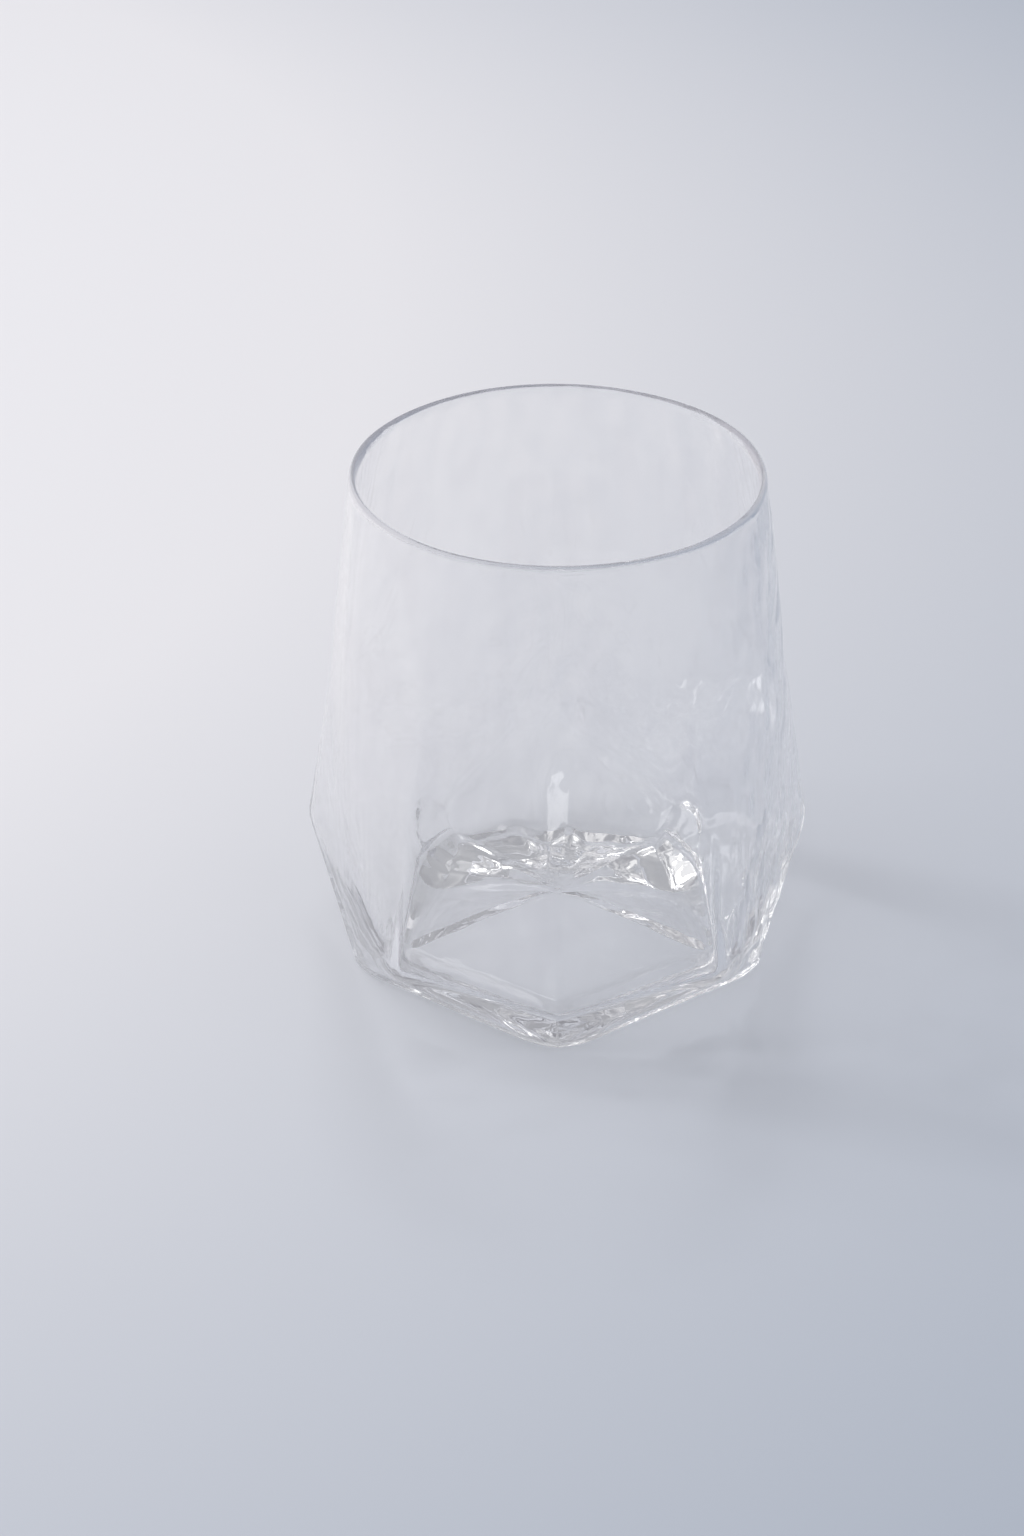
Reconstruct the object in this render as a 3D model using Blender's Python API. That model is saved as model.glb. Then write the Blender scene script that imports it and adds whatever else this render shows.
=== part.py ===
"""A rocks glass: one piece of mould-blown glass, round at the rim and five-sided below it.

Five panels run from the round rim down to the five corners of the base. Between them, five
triangular facets cut the panels' lower corners away, from the widest corners to the base's edges.
Underneath, a five-sided hollow rises into the floor. Angles are measured from -Y, the front.
"""
import math

import bmesh
import bpy
from mathutils import Vector

# Driving dimensions, in metres
SIDES = 5
HEIGHT = 0.0985            # standing face to the top of the rim
RIM_RADIUS = 0.0375        # outside of the round rim
GIRDLE_RADIUS = 0.0515     # axis to the corners where the glass is widest
GIRDLE_HEIGHT = 0.017      # height of those corners
PANEL_RADIUS = 0.0414      # axis to the middle of a panel, at the height of those corners
BASE_RADIUS = 0.0405       # axis to the corners of the base
RIM_WALL = 0.0014          # glass thickness at the rim
GIRDLE_WALL = 0.0020       # glass thickness at the widest corners
FOOT_WALL = 0.0048         # glass thickness beside the edge of the floor
FLOOR_EDGE = 0.0042        # height of the floor's top at its edge
FLOOR_MIDDLE = 0.0026      # glass thickness over the tip of the hollow underneath
FLOOR_FILLET = 0.0020      # inside rounding between wall and floor
HOLLOW_DEPTH = 0.0075      # rise of the hollow underneath
STANDING_WIDTH = 0.0085    # flat face around the hollow, from the base's edge inwards
FOOT_ROUNDING = 0.0010     # outside rounding between wall and standing face
EDGE_ROUNDING = 0.0011     # half the width of the rounding along a panel's upright edge
FACET_ROUNDING = 0.0020    # how far from a facet's edge its rounding starts

# How finely the glass is divided
LOWER_STEPS = 4
UPPER_STEPS = 5
ROUND_STEPS = 3
FLOOR_STEPS = 2
CREASE_MARGIN = 0.11       # least share of half a panel between a crease and the panel's middle
CREASE_SPREAD = 0.066      # share of half a panel between a crease and the points beside it
SHARP_ANGLE = math.radians(30.0)    # edges that turn more than this stay sharp

HALF_PANEL = math.pi / SIDES
FLOOR_TOP = HOLLOW_DEPTH + FLOOR_MIDDLE
FLOOR_CORNER = FLOOR_EDGE + FLOOR_FILLET


def mix(a, b, share):
    """The value that lies the given share of the way from a to b."""
    return a + (b - a) * share


def steps(start, end, count):
    """Evenly spaced values from start to end, without the end itself."""
    return [mix(start, end, i / count) for i in range(count)]


def smooth_min(a, b, width):
    """The smaller of two distances, rounded where they differ by less than the width."""
    overlap = max(width - abs(a - b), 0.0)
    return min(a, b) - overlap * overlap / (4.0 * width)


def panel_middle(z):
    """Axis to the middle of a panel: one smooth curve through the base, the girdle and the rim."""
    base = BASE_RADIUS * (z - GIRDLE_HEIGHT) * (z - HEIGHT) / (GIRDLE_HEIGHT * HEIGHT)
    girdle = PANEL_RADIUS * z * (HEIGHT - z) / (GIRDLE_HEIGHT * (HEIGHT - GIRDLE_HEIGHT))
    rim = RIM_RADIUS * z * (z - GIRDLE_HEIGHT) / (HEIGHT * (HEIGHT - GIRDLE_HEIGHT))
    return base + girdle + rim


def panel_edge(z):
    """Axis to the upright edge between two panels: straight from the girdle up to the rim."""
    if z < GIRDLE_HEIGHT:
        return GIRDLE_RADIUS * panel_middle(z) / PANEL_RADIUS
    return mix(GIRDLE_RADIUS, RIM_RADIUS, (z - GIRDLE_HEIGHT) / (HEIGHT - GIRDLE_HEIGHT))


def facet_middle(z):
    """Axis to the middle of a triangular facet: straight from the base's edge to the girdle."""
    return mix(BASE_RADIUS * math.cos(HALF_PANEL), GIRDLE_RADIUS, z / GIRDLE_HEIGHT)


def from_panel(angle):
    """How far an angle is from the middle of the nearest panel."""
    return abs((angle + HALF_PANEL) % (2.0 * HALF_PANEL) - HALF_PANEL)


def outer_radius(angle, z):
    """Axis to the outside of the glass: round at the rim, flat panels and facets lower down."""
    turn = from_panel(angle)
    middle = panel_middle(z)
    edge = panel_edge(z)
    from_edge = math.hypot(HALF_PANEL - turn, EDGE_ROUNDING / edge)
    flatness = (1.0 / math.cos(HALF_PANEL - from_edge) - 1.0) / (1.0 / math.cos(HALF_PANEL) - 1.0)
    panel = mix(middle, edge, flatness)
    facet = facet_middle(z) / math.cos(HALF_PANEL - turn)
    return smooth_min(panel, facet, FACET_ROUNDING)


def wall(z):
    """Thickness of the glass: thin at the rim, thicker at the girdle, thickest beside the floor."""
    if z > GIRDLE_HEIGHT:
        share = (HEIGHT - z) / (HEIGHT - GIRDLE_HEIGHT)
        return mix(RIM_WALL, GIRDLE_WALL, share ** 2)
    share = (GIRDLE_HEIGHT - z) / (GIRDLE_HEIGHT - FLOOR_EDGE)
    return mix(GIRDLE_WALL, FOOT_WALL, share ** 2)


def crease_turn(z):
    """Angle from a panel's middle to its meeting line with a facet."""
    height = min(z, GIRDLE_HEIGHT)
    ratio = facet_middle(height) / panel_middle(height)
    return math.atan2(ratio - math.cos(HALF_PANEL), math.sin(HALF_PANEL))


def ring_turns(z):
    """Turns of half a panel's points: drawn together along the crease low down, even at the rim."""
    margin = HALF_PANEL * CREASE_MARGIN
    near = HALF_PANEL * CREASE_SPREAD
    crease = min(max(crease_turn(z), margin), HALF_PANEL - margin)
    creased = [0.0, crease - near, crease, crease + near]
    even = steps(0.0, HALF_PANEL, len(creased))
    share = max(z - GIRDLE_HEIGHT, 0.0) / (HEIGHT - GIRDLE_HEIGHT)
    return [mix(low, high, share) for low, high in zip(creased, even)]


def ring_angles(z):
    """Angles of a ring's points, all the way round from the front."""
    turns = ring_turns(z)
    mirrored = [HALF_PANEL] + turns[:0:-1]
    angles = []
    for side in range(SIDES):
        start = 2.0 * HALF_PANEL * side
        angles += [start + turn for turn in turns]
        angles += [start + 2.0 * HALF_PANEL - turn for turn in mirrored]
    return angles


def point(angle, radius, z):
    return Vector((radius * math.sin(angle), -radius * math.cos(angle), z))


def quarter(count):
    """Angles of a quarter turn, from 0 up to but without the right angle."""
    return steps(0.0, math.pi / 2.0, count)


def hollow_edge():
    """The five-sided edge of the hollow, on the standing face."""
    reach = BASE_RADIUS * math.cos(HALF_PANEL) - STANDING_WIDTH
    return [point(a, reach / math.cos(HALF_PANEL - from_panel(a)), 0.0) for a in ring_angles(0.0)]


def foot_rings():
    """The rounding from the standing face up to the outside wall."""
    angles = ring_angles(FOOT_ROUNDING)
    rings = []
    for turn in quarter(ROUND_STEPS):
        z = FOOT_ROUNDING * (1.0 - math.cos(turn))
        inset = FOOT_ROUNDING * (1.0 - math.sin(turn))
        rings.append([point(a, outer_radius(a, FOOT_ROUNDING) - inset, z) for a in angles])
    return rings


def wall_heights(bottom):
    """Heights of the wall's rings, from the given bottom to just under the rim."""
    lower = steps(bottom, GIRDLE_HEIGHT - FACET_ROUNDING, LOWER_STEPS)
    bend = steps(GIRDLE_HEIGHT - FACET_ROUNDING, GIRDLE_HEIGHT + FACET_ROUNDING, ROUND_STEPS)
    upper = steps(GIRDLE_HEIGHT + FACET_ROUNDING, HEIGHT - RIM_WALL / 2.0, UPPER_STEPS)
    return lower + bend + upper


def outside_rings():
    rings = []
    for z in wall_heights(FOOT_ROUNDING):
        rings.append([point(a, outer_radius(a, z), z) for a in ring_angles(z)])
    return rings


def lip_rings():
    """The fire-polished rim, half round across the thickness of the wall."""
    angles = ring_angles(HEIGHT)
    lip = RIM_WALL / 2.0
    rings = []
    for turn in steps(0.0, math.pi, 2 * ROUND_STEPS):
        radius = RIM_RADIUS - lip + lip * math.cos(turn)
        z = HEIGHT - lip + lip * math.sin(turn)
        rings.append([point(a, radius, z) for a in angles])
    return rings


def inside_height(z):
    """Height where the outside has the section of the inside: both come down to five corners."""
    if z > GIRDLE_HEIGHT:
        return z
    return GIRDLE_HEIGHT * (z - FLOOR_CORNER) / (GIRDLE_HEIGHT - FLOOR_CORNER)


def inner_radius(angle, z):
    return outer_radius(angle, inside_height(z)) - wall(z)


def inside_rings():
    """The inside wall from the rim down, its rounding into the floor, and the floor's slope."""
    rings = []
    for z in reversed(wall_heights(FLOOR_CORNER)):
        rings.append([point(a, inner_radius(a, z), z) for a in ring_angles(inside_height(z))])
    angles = ring_angles(0.0)
    for turn in quarter(ROUND_STEPS)[1:]:
        z = FLOOR_CORNER - FLOOR_FILLET * math.sin(turn)
        inset = FLOOR_FILLET * (1.0 - math.cos(turn))
        rings.append([point(a, inner_radius(a, FLOOR_CORNER) - inset, z) for a in angles])
    for share in steps(1.0, 0.0, FLOOR_STEPS):
        z = mix(FLOOR_TOP, FLOOR_EDGE, share)
        reach = [share * (inner_radius(a, FLOOR_CORNER) - FLOOR_FILLET) for a in angles]
        rings.append([point(a, r, z) for a, r in zip(angles, reach)])
    return rings


def close_ring(bm, loop, tip_height):
    """Fill a ring of edges with a fan of faces that meet in a tip on the axis."""
    face = bmesh.ops.edgeloop_fill(bm, edges=loop)["faces"][0]
    tip = bmesh.ops.poke(bm, faces=[face])["verts"][0]
    tip.co = (0.0, 0.0, tip_height)


def loft(rings, first_tip, last_tip, name):
    """One closed skin through all the rings, with a tip beyond the first and the last of them."""
    bm = bmesh.new()
    loops = []
    for ring in rings:
        verts = [bm.verts.new(co) for co in ring]
        loops.append([bm.edges.new((verts[i - 1], verts[i])) for i in range(len(verts))])
    for lower, upper in zip(loops, loops[1:]):
        bmesh.ops.bridge_loops(bm, edges=lower + upper)
    close_ring(bm, loops[0], first_tip)
    close_ring(bm, loops[-1], last_tip)
    bmesh.ops.recalc_face_normals(bm, faces=bm.faces)
    mesh = bpy.data.meshes.new(name)
    bm.to_mesh(mesh)
    bm.free()
    return mesh


def clear_glass():
    material = bpy.data.materials.new("clear_glass")
    material.use_nodes = True
    shader = material.node_tree.nodes["Principled BSDF"]
    shader.inputs["Base Color"].default_value = (0.97, 0.98, 0.99, 1.0)
    shader.inputs["Metallic"].default_value = 0.0
    shader.inputs["Roughness"].default_value = 0.02
    shader.inputs["IOR"].default_value = 1.52
    shader.inputs["Transmission Weight"].default_value = 1.0
    return material


def middle_of_footprint(mesh):
    """Middle of the mesh's box, seen from above: five sides don't lie evenly about the axis."""
    low = [min(v.co[i] for v in mesh.vertices) for i in range(2)]
    high = [max(v.co[i] for v in mesh.vertices) for i in range(2)]
    return Vector(((low[0] + high[0]) / 2.0, (low[1] + high[1]) / 2.0, 0.0))


def build():
    for old in list(bpy.data.objects):
        bpy.data.objects.remove(old, do_unlink=True)
    collection = bpy.data.collections.new("rocks_glass")
    bpy.context.scene.collection.children.link(collection)
    rings = [hollow_edge()] + foot_rings() + outside_rings() + lip_rings() + inside_rings()
    mesh = loft(rings, HOLLOW_DEPTH, FLOOR_TOP, "glass_body")
    mesh.materials.append(clear_glass())
    mesh.shade_smooth()
    mesh.set_sharp_from_angle(angle=SHARP_ANGLE)
    glass = bpy.data.objects.new("glass_body", mesh)
    glass.location = -middle_of_footprint(mesh)
    collection.objects.link(glass)


build()
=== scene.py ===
"""Looks of the rocks glass: hammered, mould-blown clear glass on a pale studio floor.

The glass is modelled again here at full detail: shallow dimples and drawn streaks on the outside,
shallow dishes on the inside, a wavy fire-polished rim and the five-sided hollow underneath.
Angles are measured from -Y, the front, and lengths are in metres.
"""
import math

import bpy
import numpy as np
from mathutils import Matrix, Vector, noise


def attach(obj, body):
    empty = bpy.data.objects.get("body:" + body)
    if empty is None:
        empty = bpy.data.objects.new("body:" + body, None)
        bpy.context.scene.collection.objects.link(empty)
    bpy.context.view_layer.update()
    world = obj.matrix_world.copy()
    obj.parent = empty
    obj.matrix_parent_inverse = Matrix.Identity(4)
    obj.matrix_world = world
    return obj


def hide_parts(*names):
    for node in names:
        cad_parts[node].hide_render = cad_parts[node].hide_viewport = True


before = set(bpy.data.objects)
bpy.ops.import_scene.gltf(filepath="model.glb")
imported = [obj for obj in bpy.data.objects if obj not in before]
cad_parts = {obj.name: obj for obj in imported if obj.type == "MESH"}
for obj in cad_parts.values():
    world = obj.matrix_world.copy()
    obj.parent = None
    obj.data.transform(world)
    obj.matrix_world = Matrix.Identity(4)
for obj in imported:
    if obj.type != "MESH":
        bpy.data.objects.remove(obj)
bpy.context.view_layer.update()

# Dimensions of the glass: the outline is about the solid's, and the rest is fitted to the look
SIDES = 5
HEIGHT = 0.0985
RIM_RADIUS = 0.0375
GIRDLE_RADIUS = 0.0518
GIRDLE_HEIGHT = 0.017
PANEL_RADIUS = 0.0414
BASE_RADIUS = 0.0405
RIM_WALL = 0.0014
LIP_HEIGHT = 0.0017
GIRDLE_WALL = 0.0020
FOOT_WALL = 0.0040
FLOOR_EDGE = 0.0032
FLOOR_MIDDLE = 0.0026
FLOOR_FILLET = 0.0022
FLOOR_ROUND = 0.06
HOLLOW_DEPTH = 0.0075
STANDING_WIDTH = 0.0085
FOOT_ROUNDING = 0.0016
EDGE_ROUNDING = 0.0011
EDGE_ROUNDING_AT_RIM = 0.0035
FACET_ROUNDING = 0.0035
INSIDE_ROUNDING = 0.0025
HOLLOW_RIDGE = 0.02
FLOOR_RIDGE = 0.16
AXIS_PLACE = (0.0, -0.00444, 0.0)
HALF_PANEL = math.pi / SIDES
FLOOR_TOP = HOLLOW_DEPTH + FLOOR_MIDDLE
FLOOR_CORNER = FLOOR_EDGE + FLOOR_FILLET

# The back, where the creases and ridges are softer than at the front
BACK_FROM = math.radians(112.0)
BACK_TO = math.radians(132.0)
BACK_ROUNDING = 0.0090
BACK_RIDGE = 0.45

# How finely the glass is divided
AROUND = 600
OUTSIDE_ROWS = 200
INSIDE_ROWS = 90
FLOOR_ROWS = 60
HOLLOW_ROWS = 60
FOOT_ROWS = 7
LIP_ROWS = 14
FILLET_ROWS = 21

# Shallow dishes around scattered centres, the same in each run because of the seed
TEXTURE_SEED = 1
CELL_WARP = 0.35
CELL_WARP_RATE = 0.7
CELL_BLEND = 0.05
CELL_REACH = 0.85

# How far both skins lie inside the plain shape, which keeps the glass within the solid's box
SKIN_ALLOWANCE = 0.00010

# Dimples on the outside: their least and most share around the glass, and their share high up
DIMPLE_SIZE = 0.0058
DIMPLE_DEPTH = 0.00016
DIMPLE_SIDE = math.radians(140.0)
DIMPLE_SHARES = (0.15, 2.4)
UPPER_DIMPLES = 0.1
TEXTURE_TOP = 3.0 * GIRDLE_HEIGHT
SMOOTH_FROM = HEIGHT - 6.0 * LIP_HEIGHT

# Dishes on the inside wall, on the floor and in the hollow, and how they fade towards an edge
INSIDE_CELL_SIZE = 0.0085
INSIDE_CELL_DEPTH = 0.00035
INSIDE_CELL_SHARES = (0.1, 1.0)
INSIDE_CELL_HEIGHTS = (1.2 * GIRDLE_HEIGHT, 2.4 * GIRDLE_HEIGHT)
FLOOR_CELL_SIZE = 0.0075
FLOOR_CELL_DEPTH = 0.00022
FLOOR_CELL_FADE = 4
HOLLOW_CELL_FADE = 8

# Slow waves in the wall, as a fractal noise
SWELL_SIZE = 0.022
SWELL_DEPTH = 0.00012
SWELL_SMOOTHNESS = 1.0
SWELL_FINENESS = 2.0
SWELL_OCTAVES = 2

# Drawn streaks along the edges, each half of a panel with its own
STREAK_WIDTH = 0.0017
STREAK_LENGTH = 0.030
STREAK_DEPTH = 0.00005
STREAK_SHARES = (0.4, 4.0)
UPPER_STREAKS = 0.25
STREAK_FADE = 0.25 * HALF_PANEL
STREAKS_APART = 5.3

# Upright edges that wander sideways, and creases at the back and on the right that stray
WANDER_SIZE = 0.018
WANDER_TURN = math.radians(2.2)
WANDER_HEIGHTS = (1.3 * GIRDLE_HEIGHT, 2.5 * GIRDLE_HEIGHT)
STRAY_SIZE = 0.0065
STRAY_RISE = 0.0022
STRAY_TURN = math.radians(2.5)
STRAY_HEIGHTS = (0.1 * GIRDLE_HEIGHT, 0.5 * GIRDLE_HEIGHT)
STRAY_STARTS = (math.radians(45.0), math.radians(60.0))
STRAY_ENDS = (math.radians(84.0), math.radians(98.0))
STRAYS_APART = 40.0

# The floor's uneven edge at the back
EDGE_RISE_SIZE = 0.0080
EDGE_RISE = 0.0045
EDGE_RISE_LEVEL = 0.5
EDGE_RISE_WAVES = 0.8
EDGE_RISE_FROM = 0.4

# The rim's waves, its dip towards the front and its lean to the left
RIM_WAVE_SIZE = 0.024
RIM_WAVE_DEPTH = 0.0003
RIM_TILT = 0.0003
RIM_LEAN = -0.0005
DIP_FROM = 0.7 * HEIGHT

# Faint cords in the glass: upright streaks and broad patches that take a little of the light
CORD_SIZE = (0.0035, 0.0035, 0.050)
CORD_DETAIL = 3.0
CORD_RANGE = (0.25, 0.75)
CORD_TINT = (0.962, 0.960, 0.966, 1.0)
NO_TINT = (1.0, 1.0, 1.0, 1.0)
PATCH_SIZE = 0.030
PATCH_WARP = 0.6
PATCH_EDGE = (0.48, 0.54)
PATCH_SHARE = 0.35

# Light in the glass: what a surface passes of the lamps' light, and the bends until light goes straight
GLASS_IOR = 1.5
STRAIGHT_LIGHT = 0.985
GRAZING_POWER = 5.0
LAST_BEND = 9.0
WORN_LIGHT = (0.885, 0.88, 0.89, 1.0)
BOUNCES = 24

# The floor, with a painted pool of lamp light: its colour pales towards a spot outside the picture,
# behind the glass on the left
FLOOR_SIZE = 4.0
FLOOR_GAP = 0.0002
FLOOR_ROUGHNESS = 0.6
FLOOR_GLOSS = 0.2
PAINTED_LIGHT_CENTRE = (-0.411, 0.283, 0.0)
PAINTED_LIGHT_REACH = (0.365, 0.72)
FLOOR_PAINTED_LIT = (0.745, 0.737, 0.760, 1.0)
FLOOR_BEYOND_PAINTED_LIGHT = (0.40, 0.451, 0.535, 1.0)

# The studio around it, dim with one bright side, high on the left
BRIGHT_SIDE = (-0.65, -0.10, 0.75)
BRIGHT_SIDE_EDGE = (0.60, 0.92)
WORLD_BRIGHT = (0.95, 0.95, 0.96, 1.0)
WORLD_DIM = (0.42, 0.425, 0.45, 1.0)
WORLD_LIGHT = 1.0

# The lamps: a soft box on the left, seen through the glass, and two small ones that draw its shadow
LAMP_AIM = (0.0, 0.0, 0.04)
BOX_PLACE = (-0.95, 0.20, 0.85)
BOX_SIZE = 0.85
BOX_POWER = 7.4
KEY_PLACE = (-0.98, 0.36, 1.05)
KEY_SIZE = 0.15
KEY_POWER = 2.6
BACK_PLACE = (-0.05, 0.75, 1.25)
BACK_SIZE = 0.20
BACK_POWER = 2.2

# Camera, from the glass's axis at the floor
CAMERA_OFFSET = Vector((-0.0087, -0.5857, 0.3823))
CAMERA_TILT = math.radians(59.44)
CAMERA_TURN = math.radians(0.5)
CAMERA_LENS = 85.0
CAMERA_SENSOR = 36.0


def mix(a, b, share):
    """The value that lies the given share of the way from a to b."""
    return a + (b - a) * share


def smooth_step(low, high, value):
    """0 below the low value, 1 above the high one, and a smooth rise between them."""
    share = np.clip((value - low) / (high - low), 0.0, 1.0)
    return share * share * (3.0 - 2.0 * share)


def smooth_min(a, b, width):
    """The smaller of two distances, rounded where they differ by less than the width."""
    overlap = np.maximum(width - np.abs(a - b), 0.0)
    return np.minimum(a, b) - overlap * overlap / (4.0 * width)


# Plain shape of the glass, drawn as its solid is, with softer edges at the back

def panel_middle(z):
    """Axis to the middle of a panel: one smooth curve through the base, the girdle and the rim."""
    base = BASE_RADIUS * (z - GIRDLE_HEIGHT) * (z - HEIGHT) / (GIRDLE_HEIGHT * HEIGHT)
    girdle = PANEL_RADIUS * z * (HEIGHT - z) / (GIRDLE_HEIGHT * (HEIGHT - GIRDLE_HEIGHT))
    rim = RIM_RADIUS * z * (z - GIRDLE_HEIGHT) / (HEIGHT * (HEIGHT - GIRDLE_HEIGHT))
    return base + girdle + rim


def panel_edge(z):
    """Axis to the upright edge between two panels: straight from the girdle up to the rim."""
    below = GIRDLE_RADIUS * panel_middle(z) / PANEL_RADIUS
    above = mix(GIRDLE_RADIUS, RIM_RADIUS, (z - GIRDLE_HEIGHT) / (HEIGHT - GIRDLE_HEIGHT))
    return np.where(z < GIRDLE_HEIGHT, below, above)


def facet_middle(z):
    """Axis to the middle of a triangular facet: straight from the base's edge to the girdle."""
    return mix(BASE_RADIUS * math.cos(HALF_PANEL), GIRDLE_RADIUS, z / GIRDLE_HEIGHT)


def from_panel(angle):
    """How far an angle is from the middle of the nearest panel."""
    return np.abs((angle + HALF_PANEL) % (2.0 * HALF_PANEL) - HALF_PANEL)


def backness(angle):
    """1 at the back of the glass, 0 at its front and sides."""
    side = np.abs((angle + math.pi) % (2.0 * math.pi) - math.pi)
    return smooth_step(BACK_FROM, BACK_TO, side)


def section_radius(angle, z, rounding):
    """Axis to the wall: round at the rim, flat panels and facets lower down."""
    turn = from_panel(angle)
    edge = panel_edge(z)
    above = np.clip((z - GIRDLE_HEIGHT) / (HEIGHT - GIRDLE_HEIGHT), 0.0, 1.0)
    from_edge = np.hypot(HALF_PANEL - turn, mix(EDGE_ROUNDING, EDGE_ROUNDING_AT_RIM, above) / edge)
    flatness = (1.0 / np.cos(HALF_PANEL - from_edge) - 1.0) / (1.0 / math.cos(HALF_PANEL) - 1.0)
    panel = mix(panel_middle(z), edge, flatness)
    facet = facet_middle(z) / np.cos(HALF_PANEL - turn)
    return smooth_min(panel, facet, mix(rounding, BACK_ROUNDING, backness(angle)))


def outer_radius(angle, z):
    """Axis to the outside of the glass."""
    return section_radius(angle, z, FACET_ROUNDING)


def wall(z):
    """Thickness of the glass: thin at the rim, thickest beside the floor."""
    upper = mix(RIM_WALL, GIRDLE_WALL, ((HEIGHT - z) / (HEIGHT - GIRDLE_HEIGHT)) ** 2)
    lower = mix(GIRDLE_WALL, FOOT_WALL, ((GIRDLE_HEIGHT - z) / (GIRDLE_HEIGHT - FLOOR_EDGE)) ** 2)
    return np.where(z > GIRDLE_HEIGHT, upper, lower)


def inside_height(z):
    """Height where the outside has the section of the inside: both come down to five corners."""
    low = GIRDLE_HEIGHT * (z - FLOOR_CORNER) / (GIRDLE_HEIGHT - FLOOR_CORNER)
    return np.where(z > GIRDLE_HEIGHT, z, low)


def inner_radius(angle, z):
    """Axis to the inside of the glass."""
    return section_radius(angle, inside_height(z), INSIDE_ROUNDING) - wall(z)


# Texture of the mould and of the blown glass

def points_of(angle, radius, z):
    """Points at the given angles, distances from the axis and heights."""
    return np.stack([radius * np.sin(angle), -radius * np.cos(angle), z], axis=-1)


def at_points(function, points):
    """A function of one point, worked out for a whole grid of points."""
    flat = points.reshape(-1, 3)
    values = np.array([function(Vector(p)) for p in flat])
    return values.reshape(points.shape[:-1])


def cell(p, size):
    """A shallow dish around the nearest of scattered centres: 1 at its bottom, 0 at its ridge."""
    place = p / size
    place = place + CELL_WARP * noise.noise_vector(place * CELL_WARP_RATE)
    distances = noise.voronoi(place)[0]
    nearest = -CELL_BLEND * math.log(sum(math.exp(-d / CELL_BLEND) for d in distances))
    return 1.0 - min(max(nearest / CELL_REACH, 0.0), 1.0) ** 2


def cells_at(points, size):
    """Dishes of the given size over a whole grid of points."""
    return at_points(lambda p: cell(p, size), points)


def swell(p):
    """Slow waves in the wall, about half on average."""
    return 0.5 + 0.5 * noise.fractal(p / SWELL_SIZE, SWELL_SMOOTHNESS, SWELL_FINENESS, SWELL_OCTAVES)


def edge_rise(angle):
    """How far the rough mould pushes up the edge of the floor, at the back."""
    points = points_of(angle, np.full(angle.shape, BASE_RADIUS), np.zeros(angle.shape))
    waves = at_points(noise.noise, points / EDGE_RISE_SIZE)
    return EDGE_RISE * backness(angle) * (EDGE_RISE_LEVEL + EDGE_RISE_WAVES * waves)


def wander(angle, z):
    """How far the blown panels wander sideways from the mould's, above the girdle."""
    points = points_of(angle, np.full(angle.shape, GIRDLE_RADIUS), z)
    waves = at_points(lambda p: noise.noise(p / WANDER_SIZE), points)
    return WANDER_TURN * waves * smooth_step(*WANDER_HEIGHTS, z)


def stray(angle, z):
    """How far the hammered creases at the back and on the right stray sideways and upwards."""
    points = points_of(angle, np.full(angle.shape, GIRDLE_RADIUS), z) / STRAY_SIZE
    right = smooth_step(*STRAY_STARTS, angle) * (1.0 - smooth_step(*STRAY_ENDS, angle))
    share = (backness(angle) + right) * smooth_step(*STRAY_HEIGHTS, z)
    turn = at_points(noise.noise, points)
    rise = at_points(noise.noise, points + STRAYS_APART)
    return STRAY_TURN * share * turn, STRAY_RISE * share * rise


def crease_turn(z):
    """Angle from a panel's middle to its meeting line with a facet."""
    height = np.minimum(z, GIRDLE_HEIGHT)
    ratio = facet_middle(height) / panel_middle(height)
    return np.arctan2(ratio - math.cos(HALF_PANEL), math.sin(HALF_PANEL))


def streaks(angle, radius, z):
    """Drawn-out streaks along the panels' edges, gone at the middles of panel and facet."""
    turn = from_panel(angle)
    across = (turn - crease_turn(z)) * radius / STREAK_WIDTH
    along = z / STREAK_LENGTH
    half = np.floor(angle / HALF_PANEL)
    inside = smooth_step(0.0, STREAK_FADE, np.minimum(turn, HALF_PANEL - turn))
    waves = at_points(noise.noise, np.stack([across, along, STREAKS_APART * half], axis=-1))
    return inside * (0.5 + 0.5 * waves)


def relief(angle, radius, z):
    """Depth of the texture on the outside: strong low down and on one side, faint towards the rim."""
    points = points_of(angle, radius, z)
    low = 1.0 - smooth_step(GIRDLE_HEIGHT, TEXTURE_TOP, z)
    side = (0.5 + 0.5 * np.cos(angle - DIMPLE_SIDE)) ** 2
    foot = 1.0 - smooth_step(0.0, GIRDLE_HEIGHT, z)
    strength = (mix(UPPER_DIMPLES, 1.0, low) + foot) * mix(*DIMPLE_SHARES, side)
    dimples = DIMPLE_DEPTH * strength * cells_at(points, DIMPLE_SIZE)
    swells = SWELL_DEPTH * at_points(swell, points)
    drawing = mix(UPPER_STREAKS, 1.0, low)
    drawn = STREAK_DEPTH * drawing * mix(*STREAK_SHARES, side) * streaks(angle, radius, z)
    fade = 1.0 - smooth_step(SMOOTH_FROM, HEIGHT - LIP_HEIGHT, z)
    return SKIN_ALLOWANCE + swells + fade * (dimples + drawn)


def inside_relief(points):
    """Depth of the dishes that the hammered mould leaves on the inside, low down and on one side."""
    towards = points[..., 0] * math.sin(DIMPLE_SIDE) - points[..., 1] * math.cos(DIMPLE_SIDE)
    side = 0.5 + 0.5 * towards / np.hypot(points[..., 0], points[..., 1])
    low = 1.0 - smooth_step(*INSIDE_CELL_HEIGHTS, points[..., 2])
    cells = cells_at(points, INSIDE_CELL_SIZE)
    return INSIDE_CELL_DEPTH * mix(*INSIDE_CELL_SHARES, side ** 2) * low * cells


# Grids of points, row by row from the hollow's tip, up the outside and down the inside

ANGLES = np.arange(AROUND) * (2.0 * math.pi / AROUND)


def rows(start, end, count):
    """Evenly spaced values from start to end, without the end itself."""
    return start + (end - start) * np.arange(count) / count


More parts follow.
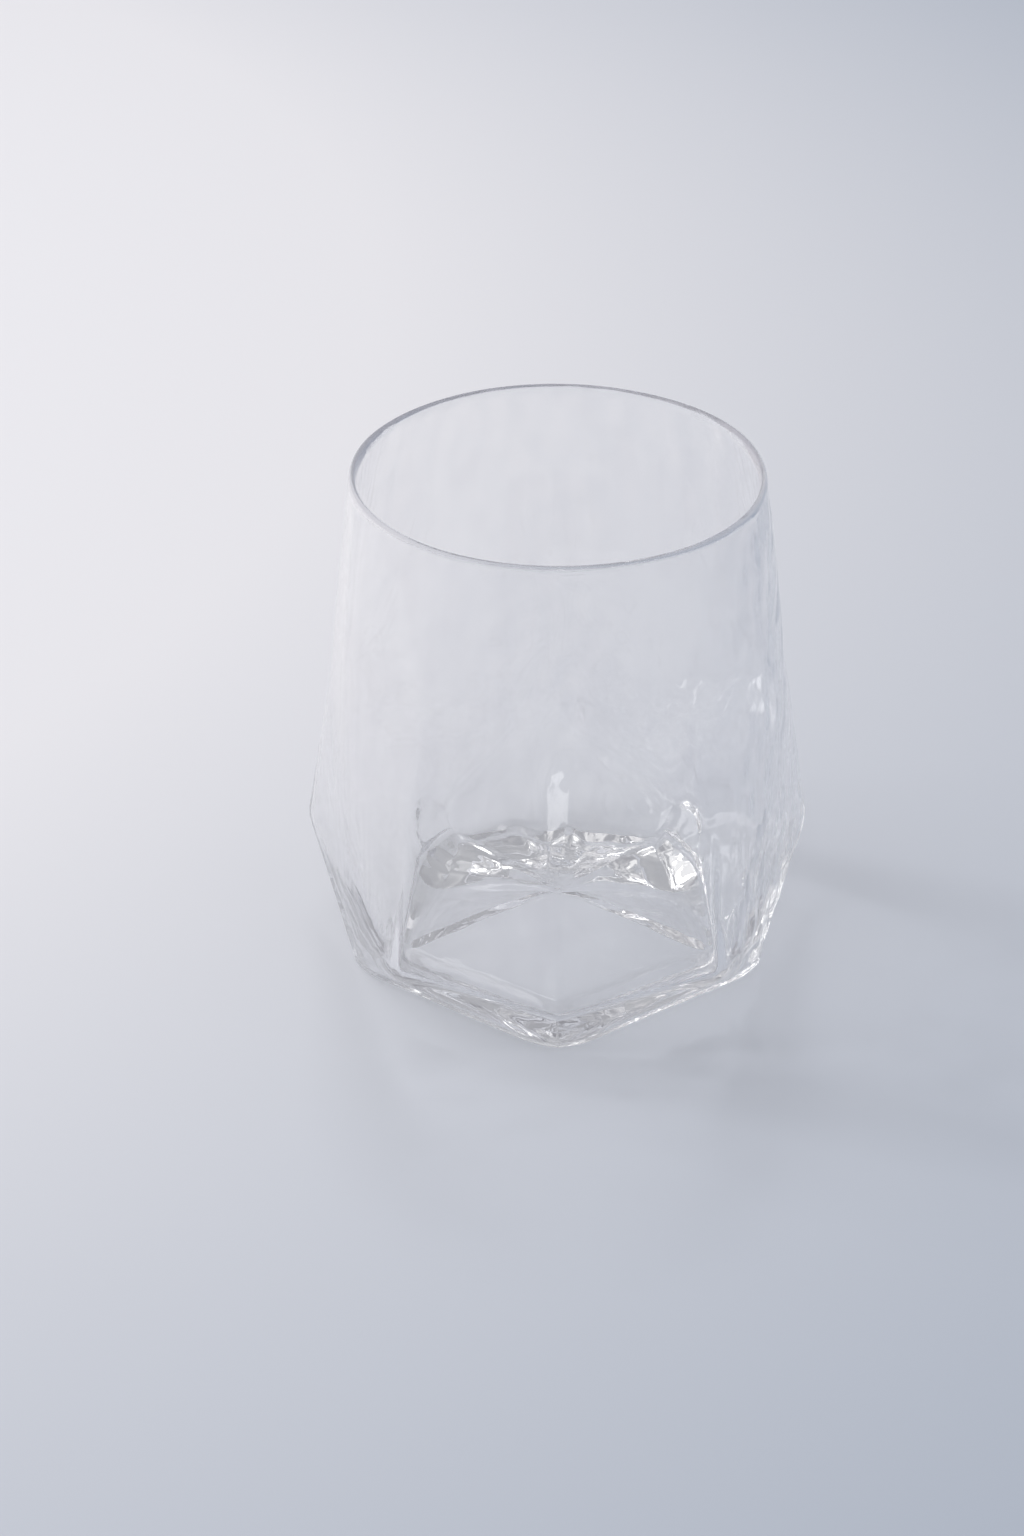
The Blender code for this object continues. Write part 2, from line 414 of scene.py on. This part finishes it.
def rim_drop():
    """How far the fire-polished rim dips below its highest place, around the glass."""
    points = points_of(ANGLES, np.full(AROUND, RIM_RADIUS), np.full(AROUND, HEIGHT))
    waves = at_points(lambda p: 0.5 + 0.5 * noise.noise(p / RIM_WAVE_SIZE), points)
    return RIM_WAVE_DEPTH * waves + RIM_TILT * (0.5 + 0.5 * np.cos(ANGLES))


def dipped(z, drop):
    """Heights on the wall, let down with the rim near the top."""
    return z - drop[None, :] * smooth_step(DIP_FROM, HEIGHT, z)


def grid(heights):
    """A grid of angles and one of heights, a row for each height."""
    return np.meshgrid(ANGLES, heights)


def pyramid(shares, edge, rounding):
    """Steepness of a pyramid with rounded ridges, softest at the back: 0 at its tip, 1 on its edge."""
    radius = shares[:, None] * edge[None, :]
    points = points_of(np.tile(ANGLES, (len(shares), 1)), radius, np.zeros(radius.shape))
    middles = HALF_PANEL * (1.0 + 2.0 * np.arange(SIDES))
    reach = edge[AROUND // (2 * SIDES)]
    towards = [(points[..., 0] * math.sin(a) - points[..., 1] * math.cos(a)) / reach for a in middles]
    softness = mix(rounding, BACK_RIDGE, backness(ANGLES))[None, :]
    total = sum(np.exp(share / softness) for share in towards)
    steep = np.log(total) - math.log(SIDES)
    return steep / steep[np.argmax(shares)]


def hollow_rows():
    """The hollow underneath, from its tip down to its edge on the standing face."""
    reach = BASE_RADIUS * math.cos(HALF_PANEL) - STANDING_WIDTH
    edge = reach / np.cos(HALF_PANEL - from_panel(ANGLES))
    shares = (np.arange(HOLLOW_ROWS) + 1.0) / HOLLOW_ROWS
    radius = shares[:, None] * edge[None, :]
    z = HOLLOW_DEPTH * (1.0 - pyramid(shares, edge, HOLLOW_RIDGE))
    points = points_of(np.tile(ANGLES, (HOLLOW_ROWS, 1)), radius, z)
    fade = (1.0 - shares ** HOLLOW_CELL_FADE)[:, None]
    points[..., 2] += FLOOR_CELL_DEPTH * cells_at(points, FLOOR_CELL_SIZE) * fade
    return points


def foot_rows():
    """The rounding from the standing face up to the outside wall."""
    turn = rows(0.0, math.pi / 2.0, FOOT_ROWS)[:, None]
    angle = np.tile(ANGLES, (FOOT_ROWS, 1))
    height = np.full(angle.shape, FOOT_ROUNDING)
    radius = outer_radius(angle, height)
    radius = radius - relief(angle, radius, height) - FOOT_ROUNDING * (1.0 - np.sin(turn))
    z = FOOT_ROUNDING * (1.0 - np.cos(turn)) * np.ones_like(angle)
    return points_of(angle, radius, z)


def outside_rows(drop):
    """The hammered outside wall, from the foot's rounding up to the rim."""
    angle, z = grid(rows(FOOT_ROUNDING, HEIGHT - LIP_HEIGHT, OUTSIDE_ROWS))
    turn, rise = stray(angle, z)
    radius = outer_radius(angle + wander(angle, z) + turn, z + rise)
    radius = radius - relief(angle, radius, z)
    return points_of(angle, radius, dipped(z, drop))


def lip_rows(drop):
    """The fire-polished rim, half round across the thickness of the wall."""
    lip = RIM_WALL / 2.0
    turn = rows(0.0, math.pi, LIP_ROWS)[:, None]
    angle = np.tile(ANGLES, (LIP_ROWS, 1))
    start = np.full(angle.shape, HEIGHT - LIP_HEIGHT)
    outside = outer_radius(angle + wander(angle, start), start)
    middle = outside - relief(angle, outside, start) - lip
    radius = middle + lip * np.cos(turn)
    z = start + LIP_HEIGHT * np.sin(turn)
    return points_of(angle, radius, dipped(z, drop))


def inside_rows(drop):
    """The inside wall, from the rim down to where it rounds into the floor."""
    angle, z = grid(rows(HEIGHT - LIP_HEIGHT, FLOOR_CORNER, INSIDE_ROWS))
    radius = inner_radius(angle + wander(angle, z), z)
    points = points_of(angle, radius, z)
    radius = radius - SKIN_ALLOWANCE - SWELL_DEPTH * at_points(swell, points) + inside_relief(points)
    low = 1.0 - smooth_step(FLOOR_CORNER, GIRDLE_HEIGHT, z)
    return points_of(angle, radius, dipped(z, drop) + low * edge_rise(ANGLES))


def wall_end():
    """The ring where the inside wall ends and its rounding into the floor starts."""
    height = np.full(AROUND, FLOOR_CORNER)
    radius = inner_radius(ANGLES, height)
    swells = SWELL_DEPTH * at_points(swell, points_of(ANGLES, radius, height))
    return points_of(ANGLES, radius - SKIN_ALLOWANCE - swells, height)


def floor_slope(corner, shares):
    """The floor's slope, for rows at the given shares of the way out from its middle to its corner."""
    whole = np.concatenate([[1.0], shares])
    z = mix(FLOOR_TOP, FLOOR_EDGE, pyramid(whole, corner, FLOOR_RIDGE))[1:]
    slope = points_of(np.tile(ANGLES, (FLOOR_ROWS, 1)), shares[:, None] * corner[None, :], z)
    fade = (1.0 - shares ** FLOOR_CELL_FADE)[:, None]
    slope[..., 2] -= FLOOR_CELL_DEPTH * cells_at(slope, FLOOR_CELL_SIZE) * fade
    return slope


def floor_fillet(corner, slope_end):
    """The dished rounding from the wall's end into the start of the floor's slope."""
    meeting = points_of(ANGLES, corner, np.full(AROUND, FLOOR_EDGE))
    along = rows(0.0, 1.0, FILLET_ROWS)[:, None, None]
    fillet = mix(mix(wall_end(), meeting, along), mix(meeting, slope_end, along), along)
    outwards = points_of(ANGLES, np.ones(AROUND), np.zeros(AROUND))
    downwards = np.array([0.0, 0.0, -1.0])
    return fillet + inside_relief(fillet)[..., None] * mix(outwards, downwards, along)


def floor_rows():
    """The rounding into the floor, and the floor's slope up to its middle."""
    corner = inner_radius(ANGLES, np.full(AROUND, FLOOR_EDGE)) - SKIN_ALLOWANCE
    shares = (1.0 - FLOOR_ROUND) * (1.0 - np.arange(FLOOR_ROWS) / FLOOR_ROWS)
    slope = floor_slope(corner, shares)
    fillet = floor_fillet(corner, slope[0])
    rise = edge_rise(ANGLES)
    near_edge = smooth_step(EDGE_RISE_FROM, 1.0 - FLOOR_ROUND, shares)[:, None]
    slope[..., 2] += near_edge * (rise - inside_relief(slope))
    fillet[..., 2] += rise
    return np.concatenate([fillet, slope])


def skin(grid_points, first, last):
    """Vertices and faces of a closed skin over rows of points, with a point at either end."""
    count = len(grid_points)
    verts = np.concatenate([[first], grid_points.reshape(-1, 3), [last]])
    here = np.arange(AROUND)
    after = (here + 1) % AROUND
    faces = [(0, 1 + a, 1 + b) for a, b in zip(after, here)]
    for row in range(count - 1):
        low = 1 + row * AROUND
        high = low + AROUND
        faces += zip(low + here, low + after, high + after, high + here)
    end = 1 + (count - 1) * AROUND
    faces += [(end + a, end + b, len(verts) - 1) for a, b in zip(here, after)]
    return verts, [tuple(int(i) for i in face) for face in faces]


def make_glass(axis):
    """The whole glass as one closed mesh around the given axis."""
    drop = rim_drop()
    grid_points = np.concatenate([
        hollow_rows(), foot_rows(), outside_rows(drop), lip_rows(drop), inside_rows(drop), floor_rows()])
    grid_points[..., 0] += RIM_LEAN * (grid_points[..., 2] / HEIGHT) ** 2
    tip = (0.0, 0.0, HOLLOW_DEPTH)
    top = (0.0, 0.0, FLOOR_TOP)
    verts, faces = skin(grid_points, tip, top)
    mesh = bpy.data.meshes.new("hammered_glass")
    mesh.from_pydata((verts + np.array(axis)).tolist(), [], faces)
    mesh.validate()
    mesh.shade_smooth()
    piece = bpy.data.objects.new("hammered_glass", mesh)
    bpy.context.scene.collection.objects.link(piece)
    piece.cycles.is_caustics_caster = True
    return piece


# Materials

def new_material(name):
    """A material with nodes, its nodes and its links."""
    material = bpy.data.materials.new(name)
    material.use_nodes = True
    return material, material.node_tree.nodes, material.node_tree.links


def new_math(nodes, operation):
    """A maths node for the given operation."""
    node = nodes.new("ShaderNodeMath")
    node.operation = operation
    return node


def new_ramp(nodes, places, first, last):
    """A ramp from the first colour at the first place to the last colour at the last place."""
    node = nodes.new("ShaderNodeValToRGB")
    for element, place, colour in zip(node.color_ramp.elements, places, (first, last)):
        element.position = place
        element.color = colour
    return node


def mixed(nodes, links, share, first, second):
    """The first shader where the share is 0, the second where it is 1."""
    node = nodes.new("ShaderNodeMixShader")
    links.new(share, node.inputs["Fac"])
    links.new(first, node.inputs[1])
    links.new(second, node.inputs[2])
    return node.outputs["Shader"]


def cords(nodes, links):
    """Colour of the glass: clear, with faint upright streaks and broad patches that are dimmer."""
    place = nodes.new("ShaderNodeTexCoord")
    drawn = nodes.new("ShaderNodeMapping")
    drawn.inputs["Scale"].default_value = [1.0 / size for size in CORD_SIZE]
    streaked = nodes.new("ShaderNodeTexNoise")
    streaked.inputs["Scale"].default_value = 1.0
    streaked.inputs["Detail"].default_value = CORD_DETAIL
    patched = nodes.new("ShaderNodeTexNoise")
    patched.inputs["Scale"].default_value = 1.0 / PATCH_SIZE
    patched.inputs["Distortion"].default_value = PATCH_WARP
    edged = nodes.new("ShaderNodeMapRange")
    edged.interpolation_type = "SMOOTHSTEP"
    edged.inputs["From Min"].default_value = PATCH_EDGE[0]
    edged.inputs["From Max"].default_value = PATCH_EDGE[1]
    edged.inputs["To Max"].default_value = PATCH_SHARE
    total = new_math(nodes, "ADD")
    ramp = new_ramp(nodes, CORD_RANGE, CORD_TINT, NO_TINT)
    links.new(place.outputs["Object"], drawn.inputs["Vector"])
    links.new(drawn.outputs["Vector"], streaked.inputs["Vector"])
    links.new(place.outputs["Object"], patched.inputs["Vector"])
    links.new(patched.outputs["Fac"], edged.inputs["Value"])
    links.new(streaked.outputs["Fac"], total.inputs[0])
    links.new(edged.outputs["Result"], total.inputs[1])
    links.new(total.outputs["Value"], ramp.inputs["Fac"])
    return ramp.outputs["Color"]


def lamp_shade(nodes, links):
    """What lets the lamps' light through: clear, and dark where the light grazes the glass."""
    facing = nodes.new("ShaderNodeLayerWeight")
    grazing = new_math(nodes, "POWER")
    grazing.inputs[1].default_value = GRAZING_POWER
    passed = nodes.new("ShaderNodeMapRange")
    passed.inputs["To Min"].default_value = STRAIGHT_LIGHT
    passed.inputs["To Max"].default_value = 0.0
    shade = nodes.new("ShaderNodeBsdfTransparent")
    links.new(facing.outputs["Facing"], grazing.inputs[0])
    links.new(grazing.outputs["Value"], passed.inputs["Value"])
    links.new(passed.outputs["Result"], shade.inputs["Color"])
    return shade.outputs["BSDF"]


def clear_glass():
    """Clear glass with faint cords, which lets the lamps' light and often bent light through straight."""
    material, nodes, links = new_material("clear_glass")
    shader = nodes["Principled BSDF"]
    links.new(cords(nodes, links), shader.inputs["Base Color"])
    shader.inputs["Roughness"].default_value = 0.0
    shader.inputs["IOR"].default_value = GLASS_IOR
    shader.inputs["Transmission Weight"].default_value = 1.0
    worn = nodes.new("ShaderNodeBsdfTransparent")
    worn.inputs["Color"].default_value = WORN_LIGHT
    path = nodes.new("ShaderNodeLightPath")
    late = new_math(nodes, "GREATER_THAN")
    late.inputs[1].default_value = LAST_BEND
    links.new(path.outputs["Ray Depth"], late.inputs[0])
    seen = mixed(nodes, links, late.outputs["Value"], shader.outputs["BSDF"], worn.outputs["BSDF"])
    lit = new_math(nodes, "MAXIMUM")
    links.new(path.outputs["Is Shadow Ray"], lit.inputs[0])
    links.new(path.outputs["Diffuse Depth"], lit.inputs[1])
    both = mixed(nodes, links, lit.outputs["Value"], seen, lamp_shade(nodes, links))
    links.new(both, nodes["Material Output"].inputs["Surface"])
    return material


def floor_with_painted_light():
    """A nearly matt floor with painted light: its colour is pale in a painted pool of lamp light and dims
    away from it.
    """
    material, nodes, links = new_material("floor_with_painted_light")
    shader = nodes["Principled BSDF"]
    shader.inputs["Roughness"].default_value = FLOOR_ROUGHNESS
    shader.inputs["Specular IOR Level"].default_value = FLOOR_GLOSS
    place = nodes.new("ShaderNodeTexCoord")
    away = nodes.new("ShaderNodeVectorMath")
    away.operation = "DISTANCE"
    away.inputs[1].default_value = PAINTED_LIGHT_CENTRE
    # This ramp paints the lamp's pool of light into the floor's colour, pale at its centre and dimmer
    # further out
    ramp = new_ramp(nodes, PAINTED_LIGHT_REACH, FLOOR_PAINTED_LIT, FLOOR_BEYOND_PAINTED_LIGHT)
    links.new(place.outputs["Object"], away.inputs[0])
    links.new(away.outputs["Value"], ramp.inputs["Fac"])
    links.new(ramp.outputs["Color"], shader.inputs["Base Color"])
    return material


# Stage

def make_floor():
    """A square floor just under the glass, on which the glass throws its bands of light."""
    far = FLOOR_SIZE
    corners = [(-far, -far, 0.0), (far, -far, 0.0), (far, far, 0.0), (-far, far, 0.0)]
    mesh = bpy.data.meshes.new("floor")
    mesh.from_pydata(corners, [], [(0, 1, 2, 3)])
    mesh.materials.append(floor_with_painted_light())
    floor = bpy.data.objects.new("floor", mesh)
    floor.location.z = -FLOOR_GAP
    bpy.context.scene.collection.objects.link(floor)
    floor.cycles.is_caustics_receiver = True


def make_world():
    """The studio that the glass mirrors and that lights it from all around."""
    world = bpy.data.worlds.new("studio")
    bpy.context.scene.world = world
    world.use_nodes = True
    nodes = world.node_tree.nodes
    links = world.node_tree.links
    place = nodes.new("ShaderNodeTexCoord")
    towards = nodes.new("ShaderNodeVectorMath")
    towards.operation = "DOT_PRODUCT"
    towards.inputs[1].default_value = Vector(BRIGHT_SIDE).normalized()
    bright = nodes.new("ShaderNodeMapRange")
    bright.interpolation_type = "SMOOTHSTEP"
    bright.inputs["From Min"].default_value = BRIGHT_SIDE_EDGE[0]
    bright.inputs["From Max"].default_value = BRIGHT_SIDE_EDGE[1]
    ramp = new_ramp(nodes, (0.0, 1.0), WORLD_DIM, WORLD_BRIGHT)
    studio = nodes["Background"]
    studio.inputs["Strength"].default_value = WORLD_LIGHT
    links.new(place.outputs["Generated"], towards.inputs[0])
    links.new(towards.outputs["Value"], bright.inputs["Value"])
    links.new(bright.outputs["Result"], ramp.inputs["Fac"])
    links.new(ramp.outputs["Color"], studio.inputs["Color"])


def area_light(name, location, size, power):
    """A square lamp that points at the glass and isn't mirrored in it."""
    lamp = bpy.data.lights.new(name, "AREA")
    lamp.size = size
    lamp.energy = power
    light = bpy.data.objects.new(name, lamp)
    bpy.context.scene.collection.objects.link(light)
    light.location = location
    light.rotation_euler = (Vector(LAMP_AIM) - Vector(location)).to_track_quat("-Z", "Y").to_euler()
    light.visible_glossy = False
    return light


def shadow_light(name, location, size, power):
    """A small lamp that isn't seen in the glass, but whose light the glass bends onto the floor."""
    light = area_light(name, location, size, power)
    light.data.cycles.is_caustics_light = True
    light.visible_transmission = False


def make_camera(axis):
    """The photo's camera, placed from the glass's axis."""
    camera = bpy.data.objects.new("camera", bpy.data.cameras.new("camera"))
    bpy.context.scene.collection.objects.link(camera)
    camera.data.lens = CAMERA_LENS
    camera.data.sensor_width = CAMERA_SENSOR
    camera.location = axis + Matrix.Rotation(CAMERA_TURN, 3, "Z") @ CAMERA_OFFSET
    camera.rotation_euler = (CAMERA_TILT, 0.0, CAMERA_TURN)
    bpy.context.scene.camera = camera


noise.seed_set(TEXTURE_SEED)
axis = Vector(AXIS_PLACE)
glass = make_glass(axis)
glass.data.materials.append(clear_glass())
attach(glass, "root")
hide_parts("glass_body")
make_floor()
make_world()
area_light("soft_box", BOX_PLACE, BOX_SIZE, BOX_POWER)
shadow_light("key", KEY_PLACE, KEY_SIZE, KEY_POWER)
shadow_light("back", BACK_PLACE, BACK_SIZE, BACK_POWER)
make_camera(axis)

scene = bpy.context.scene
scene.view_settings.view_transform = "Standard"
scene.cycles.caustics_reflective = False
scene.cycles.caustics_refractive = True
scene.cycles.max_bounces = BOUNCES
scene.cycles.transmission_bounces = BOUNCES
scene.cycles.glossy_bounces = BOUNCES
